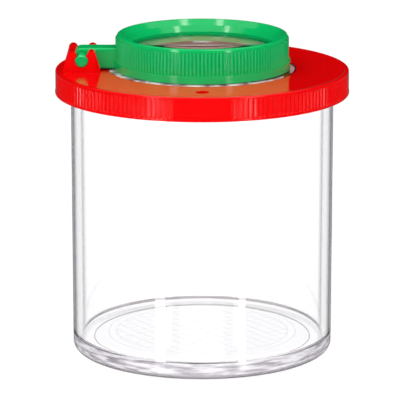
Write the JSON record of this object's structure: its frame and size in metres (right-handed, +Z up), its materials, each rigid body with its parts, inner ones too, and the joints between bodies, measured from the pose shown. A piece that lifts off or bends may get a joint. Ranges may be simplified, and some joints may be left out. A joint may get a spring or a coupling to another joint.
{
  "type": "bug viewer",
  "caption": "Clear round pot with a push-on lid that holds a lens, and a second lens in a ribbed ring that swings over it on a pin hinge.",
  "frame": {"origin": "middle of the pot's foot, on the surface that it stands on", "axes": "+Z up through the pot, the lid and both lenses; the hinge of the swing ring lies on the -X side, its pin along Y; -Y is the front"},
  "size_m": [0.075, 0.075, 0.0821],
  "materials": {
    "clear_pot": "clear polished polystyrene",
    "clear_lens": "clear polished optical plastic",
    "lid_plastic": "glossy red moulded plastic",
    "ring_plastic": "semi-gloss green moulded plastic"
  },
  "bodies": {
    "viewer_pot": {"pot": "clear_pot"},
    "viewer_lid": {"lid": "lid_plastic", "lid_lens": "clear_lens"},
    "swing_magnifier": {"swing_ring": "ring_plastic", "swing_lens": "clear_lens"}
  },
  "joints": [
    {"name": "lid_lift", "type": "slide", "parent": "viewer_pot", "child": "viewer_lid", "axis": [0, 0, 1], "range_m": [0, 0.03]},
    {"name": "magnifier_swing", "type": "hinge", "parent": "viewer_lid", "child": "swing_magnifier", "pos_m": [-0.0305, 0, 0.07615], "axis": [0, -1, 0], "range_deg": [0, 180]}
  ]
}
